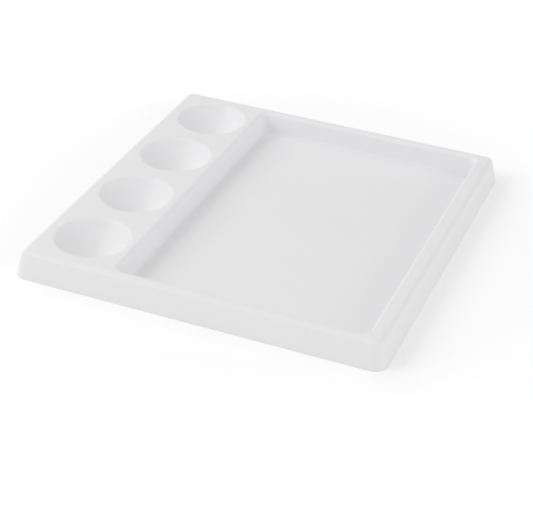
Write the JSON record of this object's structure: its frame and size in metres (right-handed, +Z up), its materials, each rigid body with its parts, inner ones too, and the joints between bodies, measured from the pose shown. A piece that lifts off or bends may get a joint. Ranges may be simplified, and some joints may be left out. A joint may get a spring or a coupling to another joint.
{
  "type": "mixing palette",
  "caption": "Shallow one-piece plastic paint palette: a row of round wells beside a large flat rectangular mixing area, with a raised rim and a sloping skirt.",
  "frame": {"origin": "centre of the footprint, on the surface that the palette stands on", "axes": "+X across the palette, from the row of wells to the opposite rim; +Y along the row of wells, from the front to the back; +Z up, out of the wells"},
  "size_m": [0.19, 0.206, 0.0135],
  "materials": {
    "white_plastic": "satin"
  },
  "bodies": {
    "root": {"palette_tray": "white_plastic"}
  },
  "joints": []
}
